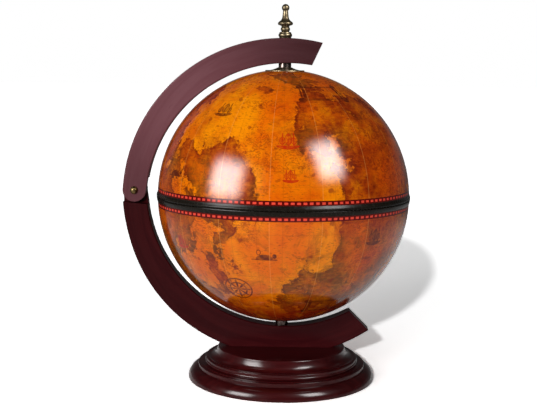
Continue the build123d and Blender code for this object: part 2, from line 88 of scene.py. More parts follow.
# ---------------------------------------------------------------- node helpers
class Wire:
    """An output socket to reckon with: each sum of wires and numbers adds a math node."""

    def __init__(self, wiring: Wiring, socket: bpy.types.NodeSocket) -> None:
        """Note the output socket and the wiring it belongs to."""
        self.wiring = wiring
        self.socket = socket

    def __add__(self, other: Wire | float) -> Wire:
        """Sum."""
        return self.wiring.math("ADD", self, other)

    def __sub__(self, other: Wire | float) -> Wire:
        """Difference."""
        return self.wiring.math("SUBTRACT", self, other)

    def __mul__(self, other: Wire | float) -> Wire:
        """Product."""
        return self.wiring.math("MULTIPLY", self, other)

    def __truediv__(self, other: Wire | float) -> Wire:
        """Quotient."""
        return self.wiring.math("DIVIDE", self, other)

    def __neg__(self) -> Wire:
        """The value with its sign turned."""
        return self * -1.0

    def __abs__(self) -> Wire:
        """The value without its sign."""
        return self.wiring.math("ABSOLUTE", self)


@dataclass(frozen=True)
class Cloud:
    """Settings of one cloudy pattern.

    Attributes:
        scale: Clouds in one unit of length.
        detail: Number of finer octaves.
        rough: Strength of the finer octaves.
        warp: How far the pattern is stirred.
        offset: Which part of the endless pattern is read.
        stretch: How many times denser it is along each axis.
    """

    scale: float
    detail: float
    rough: float = 0.5
    warp: float = 0.0
    offset: Triple = ORIGIN
    stretch: Triple = EVEN


class Wiring:
    """Adds nodes to a tree and joins them."""

    def __init__(self, tree: bpy.types.NodeTree) -> None:
        """Work on this tree of nodes."""
        self.tree = tree

    def add(self, kind: str, **settings: Any) -> bpy.types.Node:
        """Add a node.

        Args:
            kind: Its type.
            **settings: Its plain settings.

        Returns:
            The node.
        """
        node = self.tree.nodes.new(kind)
        for key, value in settings.items():
            setattr(node, key, value)
        return node

    def feed(self, socket: bpy.types.NodeSocket, value: Any) -> None:
        """Join a wire to an input socket, or set the socket's own value.

        Args:
            socket: The input socket.
            value: A wire, a number, a vector or a colour.
        """
        if isinstance(value, Wire):
            self.tree.links.new(value.socket, socket)
        elif socket.type == "RGBA":
            socket.default_value = (*value, 1.0)
        else:
            socket.default_value = value

    def fill(self, node: bpy.types.Node, output: int | str = 0, **values: Any) -> Wire:
        """Feed several inputs of a node.

        Args:
            node: The node.
            output: Name or place of the output to give back.
            **values: Values of its inputs, whose names have _ for a space.

        Returns:
            The chosen output.
        """
        for key, value in values.items():
            self.feed(node.inputs[key.replace("_", " ")], value)
        return Wire(self, node.outputs[output])

    def math(self, operation: str, first: Wire, second: Wire | float = 0.0) -> Wire:
        """Reckon with one or two values.

        Args:
            operation: The math node's operation.
            first: First value.
            second: Second value, which some operations leave unread.

        Returns:
            The result.
        """
        node = self.add("ShaderNodeMath", operation=operation)
        for socket, value in zip(node.inputs, (first, second)):
            self.feed(socket, value)
        return Wire(self, node.outputs[0])

    def most(self, *values: Wire) -> Wire:
        """Find the largest of several values.

        Args:
            *values: The values.

        Returns:
            The largest one.
        """
        result = values[0]
        for value in values[1:]:
            result = self.math("MAXIMUM", result, value)
        return result

    def length(self, x: Wire, y: Wire) -> Wire:
        """Length of a flat vector."""
        return self.math("SQRT", x * x + y * y)

    def step(self, value: Wire, low: float, high: float, start: float = 0.0,
             stop: float = 1.0) -> Wire:
        """Smooth change from start to stop as the value goes from low to high."""
        node = self.add("ShaderNodeMapRange", interpolation_type="SMOOTHSTEP")
        return self.fill(node, "Result", Value=value, From_Min=low, From_Max=high,
                         To_Min=start, To_Max=stop)

    def fall(self, value: Wire, low: float, high: float) -> Wire:
        """Smooth fall from 1 to 0 as the value goes from low to high."""
        return self.step(value, low, high, 1.0, 0.0)

    def axes(self, vector: Wire) -> list[Wire]:
        """The three parts of a vector."""
        node = self.fill(self.add("ShaderNodeSeparateXYZ"), Vector=vector).socket.node
        return [Wire(self, socket) for socket in node.outputs]

    def rays(self) -> tuple[Wire, Wire, Wire]:
        """Tell kinds of light paths apart.

        Returns:
            Values that are 1 for camera rays, for mirrored or transmitted rays, and for
            diffuse rays.
        """
        node = self.add("ShaderNodeLightPath")
        camera, glossy, passed, diffuse = (
            Wire(self, node.outputs[f"Is {kind} Ray"])
            for kind in ("Camera", "Glossy", "Transmission", "Diffuse"))
        return camera, self.most(glossy, passed), diffuse


class Graph(Wiring):
    """Builds one material round a principled shader."""

    def __init__(self, name: str) -> None:
        """Start a material.

        Args:
            name: The finish's name.
        """
        self.material = bpy.data.materials.new(name)
        self.material.use_nodes = True
        super().__init__(self.material.node_tree)
        self.tree.nodes.clear()
        output = self.add("ShaderNodeOutputMaterial")
        self.shader = self.add("ShaderNodeBsdfPrincipled")
        self.tree.links.new(self.shader.outputs["BSDF"], output.inputs["Surface"])

    def surface(self, **values: Any) -> None:
        """Feed sockets of the shader, by their names with _ for a space."""
        self.fill(self.shader, **values)

    def mix(self, share: Any, low: Any, high: Any, mode: str = "MIX") -> Wire:
        """Blend two colours.

        Args:
            share: Share of the second colour.
            low: First colour.
            high: Second colour.
            mode: How they blend.

        Returns:
            The blend.
        """
        node = self.add("ShaderNodeMix", data_type="RGBA", blend_type=mode)
        for index, value in zip(MIX_INPUTS, (share, low, high)):
            self.feed(node.inputs[index], value)
        return Wire(self, node.outputs[MIX_OUTPUT])

    def layers(self, colour: Any, *coats: tuple[Wire, Any]) -> Wire:
        """Lay coats over a colour.

        Args:
            colour: The colour below.
            *coats: Share and colour of each coat, the lowest first.

        Returns:
            The colour on top.
        """
        for share, coat in coats:
            colour = self.mix(share, colour, coat)
        return colour

    def shifted(self, where: Wire, offset: Triple, stretch: Triple = EVEN) -> Wire:
        """A vector stretched and then moved."""
        node = self.add("ShaderNodeMapping")
        return self.fill(node, Vector=where, Location=offset, Scale=stretch)

    def here(self, centre: Triple = ORIGIN, scale: float = 1.0) -> Wire:
        """Read object coordinates.

        Args:
            centre: Point of the object that becomes the zero of the pattern.
            scale: Factor on the distance from it.

        Returns:
            The vector.
        """
        moved = self.add("ShaderNodeVectorMath", operation="SUBTRACT")
        self.feed(moved.inputs[0], self.fill(self.add("ShaderNodeTexCoord"), "Object"))
        self.feed(moved.inputs[1], centre)
        return self.shifted(Wire(self, moved.outputs[0]), ORIGIN, (scale,) * 3)

    def on_globe(self) -> tuple[Wire, Wire, Wire, Wire]:
        """Read a place on the globe.

        Returns:
            The point on the unit globe, its height there, and its latitude and longitude
            in radians.
        """
        unit = self.here(CENTRE, 1.0 / (GLOBE_RADIUS * MM))
        x, y, z = self.axes(unit)
        level = self.most(self.math("MINIMUM", z, 1.0), -1.0)
        return unit, z, self.math("ARCSINE", level), self.math("ARCTAN2", x, -y)

    def noise(self, where: Wire, cloud: Cloud) -> Wire:
        """Read a cloudy pattern.

        Args:
            where: The place.
            cloud: Settings of the pattern.

        Returns:
            A value between about 0.2 and 0.8.
        """
        if (cloud.offset, cloud.stretch) != (ORIGIN, EVEN):
            where = self.shifted(where, cloud.offset, cloud.stretch)
        return self.fill(self.add("ShaderNodeTexNoise"), "Fac", Vector=where, Scale=cloud.scale,
                         Detail=cloud.detail, Roughness=cloud.rough, Distortion=cloud.warp)

    def cells(self, where: Wire, scale: float) -> tuple[Wire, Wire]:
        """Scattered cells: how far off the nearest one is, and its random colour."""
        node = self.add("ShaderNodeTexVoronoi")
        return self.fill(node, "Distance", Vector=where, Scale=scale), self.fill(node, "Color")

    def grid(self, angle: Wire, every: float, width: float) -> Wire:
        """Draw thin lines at equal angles.

        Args:
            angle: The angle to divide, in radians.
            every: Degrees between lines.
            width: Width of a line in degrees.

        Returns:
            A value that is 1 on the lines.
        """
        turns = angle * (math.degrees(1.0) / every)
        gap = abs(turns - self.math("ROUND", turns))
        return self.fall(gap, 0.4 * width / every, 0.75 * width / every)

    def bump(self, height: Wire, depth: float, strength: float) -> None:
        """Let a height value dent the surface and its coat.

        Args:
            height: The height.
            depth: Metres that one unit of height stands for.
            strength: How much of the dent shows.
        """
        normal = self.fill(self.add("ShaderNodeBump"), "Normal", Height=height, Distance=depth,
                           Strength=strength)
        self.surface(Normal=normal)
        if self.shader.inputs["Coat Weight"].default_value > 0:
            self.surface(Coat_Normal=normal)


# ---------------------------------------------------------------- finishes
class Finish:
    """A finish that wires its own material."""

    def make(self, name: str) -> bpy.types.Material:
        """Build the finish.

        Args:
            name: The material's name.

        Returns:
            The material.
        """
        graph = Graph(name)
        self.wire(graph)
        return graph.material

    def wire(self, graph: Graph) -> None:
        """Wire the material under way, in each kind of finish."""
        raise NotImplementedError


class WoodTone(Enum):
    """Stain of one mahogany piece: ground, streak and pore colours; the upper arm's is lighter
    as a painted sheen.
    """

    DARK = (paint(43, 5, 8), paint(53, 9, 12), paint(28, 3, 5))
    # The upper arm's tone: its lighter mauve is painted sheen over the dark stain.
    WARM_PAINTED_SHEEN = (paint(101, 60, 66), paint(107, 67, 73), paint(84, 45, 50))
    TURNED = (paint(46, 4, 6), paint(60, 9, 11), paint(28, 2, 3))


class Grain(Enum):
    """How the grain runs: round an arm's arc, or straight across a turned piece."""

    BENT = "bent"
    TURNED = "turned"


@dataclass(frozen=True)
class Mahogany(Finish):
    """Dark stained mahogany under a satin varnish, or lighter on the upper arm as a painted
    sheen.

    Attributes:
        tone: Colours of the stain, with painted sheen in the upper arm's.
        grain: How the grain runs.
        gloss: Roughness of the varnish.
        shine: Weight of the clear coat.
        polish: Roughness of the clear coat.
        bend: Metres of grain in one radian of an arm.
        shadow: Painted shade: factor on the painted-sheen tone at both ends of the arm.
        wander: Broad changes of tone.
        figure: Streaks.
        pores: Short pores.
    """

    tone: WoodTone
    grain: Grain
    gloss: float
    shine: float
    polish: float = 0.17
    bend: float = 0.19
    shadow: Triple = (0.3, 0.22, 0.22)
    wander: Cloud = Cloud(1.0, 2.0, stretch=(4, 24, 24))
    figure: Cloud = Cloud(1.0, 5.0, 0.6, 0.6, (0.3, 0.1, 0.7), (10, 110, 110))
    pores: Cloud = Cloud(1.0, 2.0, 0.6, 0.0, (0.9, 0.4, 0.2), (60, 1100, 1100))

    def wire(self, graph: Graph) -> None:
        """Wire the wood.

        Args:
            graph: The material under way.
        """
        ground, streak, pore = self.tone.value
        place = graph.here(CENTRE if self.grain is Grain.BENT else ORIGIN)
        if self.grain is Grain.BENT:
            x, y, z = graph.axes(place)
            turn = graph.math("ARCTAN2", z, -x)
            place = graph.fill(graph.add("ShaderNodeCombineXYZ"), X=turn * self.bend, Y=y,
                               Z=graph.length(x, z))
        figure, pores = graph.noise(place, self.figure), graph.noise(place, self.pores)
        wander = graph.step(graph.noise(place, self.wander), 0.35, 0.7, 0.0, 0.3)
        colour = graph.mix(graph.step(figure, 0.36, 0.7), ground, streak)
        colour = graph.layers(colour, (wander, pore),
                              (graph.step(pores, 0.6, 0.8, 0.0, 0.4), pore))
        # Painted shade: the light painted-sheen tone is kept in the arm's middle and darkened
        # towards both ends.
        if self.grain is Grain.BENT and self.tone is WoodTone.WARM_PAINTED_SHEEN:
            painted_sheen_share = graph.fall(turn, 0.79, 1.89) * graph.step(turn, 0.04, 0.54, 0.6)
            colour = graph.mix(painted_sheen_share, graph.mix(1.0, colour, self.shadow, "MULTIPLY"), colour)
        graph.surface(Base_Color=colour, Specular_IOR_Level=0.05, Coat_Weight=self.shine,
                      Coat_Roughness=self.polish, Coat_IOR=1.32,
                      Roughness=graph.step(figure, 0.3, 0.7, self.gloss, self.gloss + 0.06))
        graph.bump(figure * 0.3 - pores, 0.00002, 0.05 if self.grain is Grain.TURNED else 0.2)


@dataclass(frozen=True)
class TrayVeneer(Finish):
    """Straight-grained walnut veneer on the rack inside the globe."""

    light: Triple = paint(150, 96, 52)
    dark: Triple = paint(92, 52, 26)
    pore: Triple = paint(60, 32, 16)
    bands: Triple = (9, 60, 9)
    flecks: Cloud = Cloud(1.0, 3.0, 0.6, stretch=(40, 900, 900))

    def wire(self, graph: Graph) -> None:
        """Wire the veneer.

        Args:
            graph: The material under way.
        """
        place = graph.here()
        wave = graph.add("ShaderNodeTexWave", wave_type="BANDS", bands_direction="Y")
        bands = graph.fill(wave, "Fac", Vector=graph.shifted(place, ORIGIN, self.bands),
                           Scale=0.9, Distortion=7.0, Detail=3.0, Detail_Scale=0.6)
        fleck = graph.noise(place, self.flecks)
        colour = graph.mix(graph.step(bands, 0.1, 0.9), self.dark, self.light)
        colour = graph.mix(graph.step(fleck, 0.52, 0.75, 0.0, 0.6), colour, self.pore)
        graph.surface(Base_Color=colour, Roughness=graph.step(fleck, 0.3, 0.7, 0.36, 0.5),
                      Coat_Weight=0.3, Coat_Roughness=0.2)
        graph.bump(fleck, 0.00008, 0.4)


@dataclass(frozen=True)
class Metal(Finish):
    """Turned or drawn metal with tool lines and a patina that settles in patches.

    Attributes:
        bright: Colour of the rubbed metal.
        dull: Colour of the patina.
        cover: Share of the surface that the patina takes.
        gloss: Roughness of the rubbed metal.
        lines: Tool lines in one metre of height.
        patches: Where the patina settles.
        pits: Fine pits.
    """

    bright: Triple
    dull: Triple
    cover: float
    gloss: float
    lines: float = 2200.0
    patches: Cloud = Cloud(150.0, 5.0, 0.62, 0.4)
    pits: Cloud = Cloud(1400.0, 3.0, 0.6)

    def wire(self, graph: Graph) -> None:
        """Wire the metal.

        Args:
            graph: The material under way.
        """
        place = graph.here()
        pits = graph.noise(place, self.pits)
        turning = graph.math("SINE", graph.axes(place)[2] * (self.lines * math.tau))
        patina = graph.step(graph.noise(place, self.patches) + pits * 0.12,
                            0.72 - 0.5 * self.cover, 1.0 - 0.5 * self.cover)
        graph.surface(Base_Color=graph.mix(patina, self.bright, self.dull), Metallic=1.0,
                      Roughness=patina * 0.14 + self.gloss)
        graph.bump(turning + pits, 0.00001, 0.15)


@dataclass(frozen=True)
class BlackLacquer(Finish):
    """Satin black lacquer of the two rims, rubbed thin in fine hoops."""

    ground: Triple = paint(22, 18, 13)
    rubbed: Triple = paint(42, 38, 30)
    hoops: Cloud = Cloud(1.0, 2.0, stretch=(6, 6, 900))
    dust: Cloud = Cloud(260.0, 4.0, 0.6)

    def wire(self, graph: Graph) -> None:
        """Wire the lacquer.

        Args:
            graph: The material under way.
        """
        place = graph.here(CENTRE)
        hoops, dust = graph.noise(place, self.hoops), graph.noise(place, self.dust)
        colour = graph.layers(self.ground, (graph.step(hoops, 0.5, 0.75, 0.0, 0.7), self.rubbed),
                              (graph.step(dust, 0.56, 0.8, 0.0, 0.35), self.rubbed))
        graph.surface(Base_Color=colour, Roughness=graph.step(dust, 0.3, 0.7, 0.2, 0.32),
                      Specular_IOR_Level=0.12)
        graph.bump(hoops, 0.0001, 0.5)


@dataclass(frozen=True)
class Felt(Finish):
    """Matted wool felt under the base, or the pressed fibre of a washer."""

    deep: Triple = paint(14, 38, 22)
    tip: Triple = paint(38, 78, 48)
    fibres: Cloud = Cloud(900.0, 5.0, 0.7, 1.5)
    mats: Cloud = Cloud(60.0, 2.0)

    def wire(self, graph: Graph) -> None:
        """Wire the felt.

        Args:
            graph: The material under way.
        """
        place = graph.here()
        fibre = graph.noise(place, self.fibres)
        mat = graph.step(graph.noise(place, self.mats), 0.4, 0.7, 0.0, 0.3)
        colour = graph.layers(self.deep, (graph.step(fibre, 0.35, 0.7), self.tip),
                              (mat, self.deep))
        graph.surface(Base_Color=colour, Roughness=0.95, Sheen_Weight=0.4, Sheen_Roughness=0.5)
        graph.bump(fibre, 0.0004, 0.8)


@dataclass(frozen=True)
class LiningPaper(Finish):
    """Plain ochre paper that lines the halves, with a drawn grid and small stars."""

    ground: Triple = paint(196, 128, 60)
    aged: Triple = paint(150, 84, 34)
    ink: Triple = paint(92, 44, 18)
    ageing: Cloud = Cloud(2.4, 5.0, 0.6, 0.5)
    tooth: Cloud = Cloud(60.0, 4.0, 0.6)

    def wire(self, graph: Graph) -> None:
        """Wire the paper.

        Args:
            graph: The material under way.
        """
        unit, _, latitude, longitude = graph.on_globe()
        lines = graph.most(graph.grid(longitude, 30.0, 0.35), graph.grid(latitude, 15.0, 0.3))
        star = graph.fall(graph.cells(unit, 9.0)[0], 0.05, 0.075)
        age = graph.step(graph.noise(unit, self.ageing), 0.4, 0.68)
        colour = graph.layers(self.ground, (age, self.aged), (lines * 0.45, self.ink),
                              (star * 0.7, self.ink))
        graph.surface(Base_Color=colour, Roughness=0.55, Coat_Weight=0.15, Coat_Roughness=0.3)
        graph.bump(graph.noise(unit, self.tooth), 0.0001, 0.4)


# ---------------------------------------------------------------- printed map
class Emblem(Enum):
    """Small drawings that the map maker scatters over the seas."""

    SHIP = "ship"
    ROSE = "rose"
    FRAME = "frame"
    WHALE = "whale"


@dataclass(frozen=True)
class Drawing:
    """One small drawing on the map: what, where and how large.

    Attributes:
        emblem: The drawing.
        latitude: Degrees north.
        longitude: Degrees to the right of the front.
        size: Half its width, in degrees.
        red: True where it is drawn in the red ink.
    """

    emblem: Emblem
    latitude: float
    longitude: float
    size: float
    red: bool = False


class EmblemInk(Wiring):
    """Node groups that draw the small emblems from a point measured across and up."""

    made: dict[Emblem, bpy.types.NodeTree] = {}

    @classmethod
    def of(cls, emblem: Emblem) -> bpy.types.NodeTree:
        """The group of one emblem, made the first time it is asked for."""
        if emblem not in cls.made:
            cls.made[emblem] = cls(emblem).tree
        return cls.made[emblem]

    def __init__(self, emblem: Emblem) -> None:
        """Make the group.

        Args:
            emblem: The drawing to make.
        """
        super().__init__(bpy.data.node_groups.new(f"ink_{emblem.value}", "ShaderNodeTree"))
        for name, way in (("Across", "INPUT"), ("Up", "INPUT"), ("Ink", "OUTPUT")):
            self.tree.interface.new_socket(name, in_out=way, socket_type="NodeSocketFloat")
        source = self.add("NodeGroupInput")
        self.across, self.up = (Wire(self, socket) for socket in source.outputs[:2])
        draw = {Emblem.SHIP: self.ship, Emblem.ROSE: self.rose, Emblem.FRAME: self.frame,
                Emblem.WHALE: self.whale}
        self.feed(self.add("NodeGroupOutput").inputs[0], draw[emblem]())

    def below(self, value: Wire, limit: float, soft: float = 0.08) -> Wire:
        """1 where the value is under the limit, with a soft edge."""
        return self.fall(value, limit, limit + soft)

    def near(self, value: Wire, at: float, half: float, soft: float = 0.08) -> Wire:
        """1 where the value is within half a width of a level, with a soft edge."""
        return self.below(abs(value - at), half, soft)

    def oval(self, across: float, up: float, wide: float, high: float) -> Wire:
        """Distance from an oval's centre, 1 on its edge."""
        return self.length((self.across - across) / wide, (self.up - up) / high)

    def ship(self) -> Wire:
        """Draw a round-hulled ship with three full sails.

        Returns:
            The ink.
        """
        marks = [self.below(self.oval(0.0, -0.3, 0.95, 0.36), 0.95) * self.below(self.up, -0.34)]
        for across, up, wide, high in ((-0.48, 0.12, 0.24, 0.34), (0.0, 0.26, 0.3, 0.5),
                                       (0.46, 0.1, 0.22, 0.32)):
            sail = self.oval(across, up, wide, high)
            mast = self.near(self.across, across, 0.03, 0.04) * self.near(self.up, 0.2, 0.62)
            marks += [self.below(sail, 0.9) * 0.55, self.near(sail, 0.92, 0.08), mast]
        return self.most(*marks)

    def rose(self) -> Wire:
        """Draw a compass rose with eight points inside two rings.

        Returns:
            The ink.
        """
        reach = self.oval(0.0, 0.0, 1.0, 1.0)
        turn = self.math("ARCTAN2", self.up, self.across) * 4.0
        spike = self.math("POWER", abs(self.math("COSINE", turn)), 3.0)
        rings = [self.near(reach, at, 0.03, 0.05) for at in (0.62, 1.0)]
        return self.most(self.below(reach - spike * 0.8, 0.08), *rings)

    def frame(self) -> Wire:
        """Draw an empty strapwork frame with a boss at each corner.

        Returns:
            The ink.
        """
        edge = self.most(abs(self.across), abs(self.up) * 2.0)
        lines = [self.near(edge, at, half, 0.03) for at, half in ((0.84, 0.05), (0.99, 0.02))]
        bosses = [self.below(self.oval(x, y, 0.16, 0.16), 0.9, 0.2)
                  for x in (-0.98, 0.98) for y in (-0.48, 0.48)]
        return self.most(self.below(edge, 0.84) * 0.18, *lines, *bosses)

    def whale(self) -> Wire:
        """Draw a whale's back with its tail and spout over the sea.

        Returns:
            The ink.
        """
        body = self.below(self.oval(0.0, -0.2, 0.8, 0.5), 0.95) * self.below(-self.up, 0.16)
        tail = self.below(self.oval(0.92, 0.12, 0.2, 0.24), 0.95)
        spout = self.near(self.oval(-0.5, 0.5, 0.22, 0.3), 0.8, 0.12)
        sea = self.below(abs(self.up + 0.24), 0.04, 0.05) * self.below(abs(self.across), 1.15)
        return self.most(body, tail, spout, sea)


@dataclass(frozen=True)
class MapPrint(Finish):
    """Varnished antique-style map: invented coasts, hachures, grid, gores and dashed borders.

    Attributes:
        sea: Colour of the aged ground.
        sunned: Paler and yellower ground.
        stain: Redder blotches of age.
        land: Tint of the countries.
        shore: Colour of the feathered coasts.
        outline: Colour of the line along them.
        moss: Colour of the olive coasts.
        ice: Colour of the far south.
        ink: Colour of the drawn lines.
        red_ink: Colour of some of the small drawings.
        seam: Colour of the joins between the gores.
        maroon: Ground of the borders.
        coral: Colour of their dashes.
        sea_level: Height of the relief where the land begins.
        far_south: Latitudes between which the ice fades out, in degrees.
        isles: Cells in one radius, share left empty and offset of each set of islands.
        gore: Width of one gore, in degrees.
        gore_start: Longitude of one join, in degrees.
        dashes: Dashes in each border.
        borders: Heights of both edges of each border over the globe's centre.
        dash: Half heights between which a dash fades.
        fade: Half the soft edge of a border.
        peel: Uneven varnish.
        drawings: The small drawings.
    """

    sea: Triple = paint(216, 98, 1)
    sunned: Triple = paint(232, 134, 1)
    stain: Triple = paint(196, 68, 3)
    land: Triple = paint(198, 70, 2)
    shore: Triple = paint(126, 36, 6)
    outline: Triple = paint(74, 18, 6)
    moss: Triple = paint(98, 58, 10)
    ice: Triple = paint(148, 30, 6)
    ink: Triple = paint(84, 28, 8)
    red_ink: Triple = paint(176, 34, 8)
    seam: Triple = paint(240, 168, 80)
    maroon: Triple = paint(84, 6, 4)
    coral: Triple = paint(218, 66, 48)
    sea_level: float = 0.507
    far_south: Point = (-60.0, -38.0)
    isles: tuple[tuple[float, float, Triple], ...] = (
        (7.5, 0.5, ORIGIN), (13.0, 0.62, (3.0, 1.0, 7.0)))
    gore: float = 22.2
    gore_start: float = -5.6
    dashes: int = 138
    borders: tuple[Point, ...] = ((6.4, 12.5), (-12.5, -6.4))
    dash: Point = (1.2, 1.5)
    fade: float = 0.15
    peel: Cloud = Cloud(26.0, 2.0)
    drawings: tuple[Drawing, ...] = (
        Drawing(Emblem.SHIP, 44.0, -38.0, 5.0),
        Drawing(Emblem.SHIP, 29.0, 2.0, 5.0, True),
        Drawing(Emblem.WHALE, 13.0, -56.0, 4.5),
        Drawing(Emblem.SHIP, 14.0, 3.0, 3.6, True),
        Drawing(Emblem.ROSE, -38.0, -24.0, 6.0),
        Drawing(Emblem.SHIP, -13.0, 44.0, 5.0),
        Drawing(Emblem.WHALE, -20.0, -8.0, 4.6),
        Drawing(Emblem.SHIP, -17.0, -52.0, 4.2, True),
        Drawing(Emblem.FRAME, 56.0, 30.0, 10.0),
        Drawing(Emblem.FRAME, -50.0, 30.0, 9.0),
        Drawing(Emblem.ROSE, 28.0, 150.0, 6.5),
        Drawing(Emblem.SHIP, 12.0, 118.0, 5.0),
        Drawing(Emblem.SHIP, -28.0, -120.0, 5.0, True),
        Drawing(Emblem.WHALE, 38.0, -140.0, 5.0),
        Drawing(Emblem.FRAME, -30.0, 165.0, 10.0),
    )

    def wire(self, graph: Graph) -> None:
        """Wire the map.

        Args:
            graph: The material under way.
        """
        unit, z, latitude, longitude = graph.on_globe()
        colour = self.geography(graph, unit, latitude)
        colour = self.engraving(graph, colour, unit, latitude, longitude)
        colour = self.gores(graph, colour, longitude)
        colour = self.dashed_borders(graph, colour, z, longitude)
        graph.surface(Base_Color=colour, Roughness=0.6, Specular_IOR_Level=0.0, Coat_Weight=1.0,
                      Coat_Roughness=0.12, Coat_IOR=1.36)
        graph.bump(graph.noise(unit, self.peel), 0.0003, 0.08)

    def geography(self, graph: Graph, unit: Wire, latitude: Wire) -> Wire:
        """Paint the aged ground, and the coasts with their feathered shading on the land side.

        Args:
            graph: The material under way.
            unit: Point on the unit globe.
            latitude: Latitude in radians.

        Returns:
            The colour.
        """
        wash = graph.noise(unit, Cloud(1.7, 5.0, 0.6, 0.4, (4.1, 0.3, 2.2)))
        age = graph.noise(unit, Cloud(6.0, 6.0, 0.68, 0.5, (1.4, 6.3, 0.2)))
        relief = graph.noise(unit, Cloud(1.45, 11.0, 0.58, 0.3, (7.3, 2.9, 5.1)))
        fray = graph.noise(unit, Cloud(2.2, 6.0, 0.7, 1.1, (5.2, 3.7, 8.8), (9, 9, 16)))
        strokes = graph.noise(unit, Cloud(1.0, 4.0, 0.64, 0.8, ORIGIN, (7, 7, 52)))
        ragged = graph.noise(unit, Cloud(9.0, 5.0, 0.66, 0.6, (2.6, 0.8, 4.4)))
        kind = graph.noise(unit, Cloud(1.9, 2.0, offset=(9.1, 4.2, 1.7)))
        hills = graph.noise(unit, Cloud(15.0, 5.0, 0.72, 1.3, (3.3, 1.1, 0.4), (1, 1, 1.5)))
        blots = graph.noise(unit, Cloud(4.4, 6.0, 0.68, 0.8, (6.6, 2.2, 9.4), (1, 1, 0.7)))
        step, fall = graph.step, graph.fall

        ground = graph.mix(step(wash, 0.38, 0.62), self.sunned, self.sea)
        height = relief + (fray - 0.5) * 0.09 - self.sea_level
        olive = step(kind + step(latitude, -0.35, 0.12, 0.16, 0.0), 0.5, 0.62)
        shade = graph.mix(olive, self.shore, self.moss)
        country = step(height, -0.006, 0.008) * step(ragged, 0.34, 0.66, 0.2, 0.75)
        feather = (step(height, -0.008, 0.008) * fall(height, 0.0, 0.17)
                   * step(strokes, 0.26, 0.6, 0.6) * step(ragged, 0.3, 0.62, 0.5))
        rim = (step(height, -0.004, 0.004) * fall(height, 0.006, 0.03)
               * step(ragged, 0.34, 0.6, 0.1, 0.6))
        swell = (step(height, -0.022, -0.002) * step(strokes, 0.5, 0.68)
                 * fall(height, -0.002, 0.0))
        peaks = step(hills, 0.5, 0.64) * step(height, -0.07, 0.03, 0.3)
        blot = (step(blots, 0.52, 0.66) * step(latitude, -0.5, 0.2, 0.75, 0.35)
                * step(strokes, 0.3, 0.6, 0.55))
        cold = (fall(latitude, *(math.radians(edge) for edge in self.far_south))
                * step(ragged, 0.3, 0.6, 0.4, 0.9))
        return graph.layers(ground, (step(age, 0.42, 0.74, 0.0, 0.6), self.stain),
                            (country, self.land), (feather * 0.94, shade), (rim, self.outline),
                            (swell * 0.4, self.ink), (peaks * 0.7, shade), (blot, shade),
                            (cold, self.ice))

    def engraving(self, graph: Graph, colour: Wire, unit: Wire, latitude: Wire,
                  longitude: Wire) -> Wire:
        """Draw the grid, islands, soundings and the small drawings in ink.

        Args:
            graph: The material under way.
            colour: Colour so far.
            unit: Point on the unit globe.
            latitude: Latitude in radians.
            longitude: Longitude in radians.

        Returns:
            The colour.
        """
        ragged = graph.noise(unit, Cloud(30.0, 4.0, 0.6))
        patch = graph.noise(unit, Cloud(3.4, 3.0, 0.6, 0.0, (8.0, 1.0, 6.0)))
        scratches = graph.noise(unit, Cloud(2.2, 5.0, 0.7, 1.4, (6.0, 3.0, 2.0), (10, 10, 34)))
        plates = graph.noise(unit, Cloud(2.4, 3.0, 0.6, 2.6, (1.2, 7.4, 3.8), (8, 8, 13)))
        regions = graph.noise(unit, Cloud(2.6, 2.0, offset=(3.1, 9.6, 0.7)))
        step, fall = graph.step, graph.fall

        fine = graph.most(graph.grid(latitude, 10.0, 0.28), graph.grid(longitude, 11.1, 0.3))
        coats = [(fine * 0.16, self.ink)]
        for scale, empty, offset in self.isles:
            away, chance = graph.cells(graph.shifted(unit, offset), scale)
            isle = fall(away + (ragged - 0.5) * 0.5, 0.1, 0.2)
            chosen = step(graph.axes(chance)[0], empty, empty + 0.02)
            coats.append((isle * chosen * 0.62, self.shore))
        specks, _ = graph.cells(graph.shifted(unit, (2.0, 5.0, 1.0), (1.0, 1.0, 2.6)), 24.0)
        speck = fall(specks, 0.16, 0.34) * step(patch, 0.47, 0.6)
        scratch = step(scratches, 0.54, 0.63) * step(patch, 0.4, 0.54, 1.0, 0.25)
        plate = (step(plates, 0.53, 0.58) * step(plates, 0.6, 0.68, 1.0, 0.3)
                 * step(regions, 0.5, 0.56))
        coats += [(speck * 0.42, self.ink), (scratch * 0.5, self.ink), (plate * 0.6, self.shore)]
        worn = step(ragged, 0.32, 0.6, 0.5, 0.95)
        for red, ink in ((False, self.ink), (True, self.red_ink)):
            drawn = [self.drawing(graph, each, latitude, longitude)
                     for each in self.drawings if each.red is red]
            coats.append((graph.most(*drawn) * worn, ink))
        return graph.layers(colour, *coats)

    @staticmethod
    def drawing(graph: Graph, each: Drawing, latitude: Wire, longitude: Wire) -> Wire:
        """Draw one small drawing.

        Args:
            graph: The material under way.
            each: The drawing.
            latitude: Latitude in radians.
            longitude: Longitude in radians.

        Returns:
            A value that is 1 where the ink is dark.
        """
        size, north, east = (math.radians(a) for a in (each.size, each.latitude, each.longitude))
        group = graph.add("ShaderNodeGroup", node_tree=EmblemInk.of(each.emblem))
        return graph.fill(group, Across=(longitude - east) * (math.cos(north) / size),
                          Up=(latitude - north) / size)

    def gores(self, graph: Graph, colour: Wire, longitude: Wire) -> Wire:
        """Vary the paper from gore to gore and show the fine pale joins.

        Args:
            graph: The material under way.
            colour: Colour so far.
            longitude: Longitude in radians.

        Returns:
            The colour.
        """
        turned = longitude - math.radians(self.gore_start)
        count = graph.math("FLOOR", turned * (math.degrees(1.0) / self.gore))
        random = graph.add("ShaderNodeTexWhiteNoise", noise_dimensions="1D")
        shade = graph.step(graph.fill(random, "Value", W=count), 0.0, 1.0, 0.0, 0.12)
        colour = graph.mix(shade, colour, self.stain, "MULTIPLY")
        return graph.mix(graph.grid(turned, self.gore, 0.3) * 0.24, colour, self.seam)

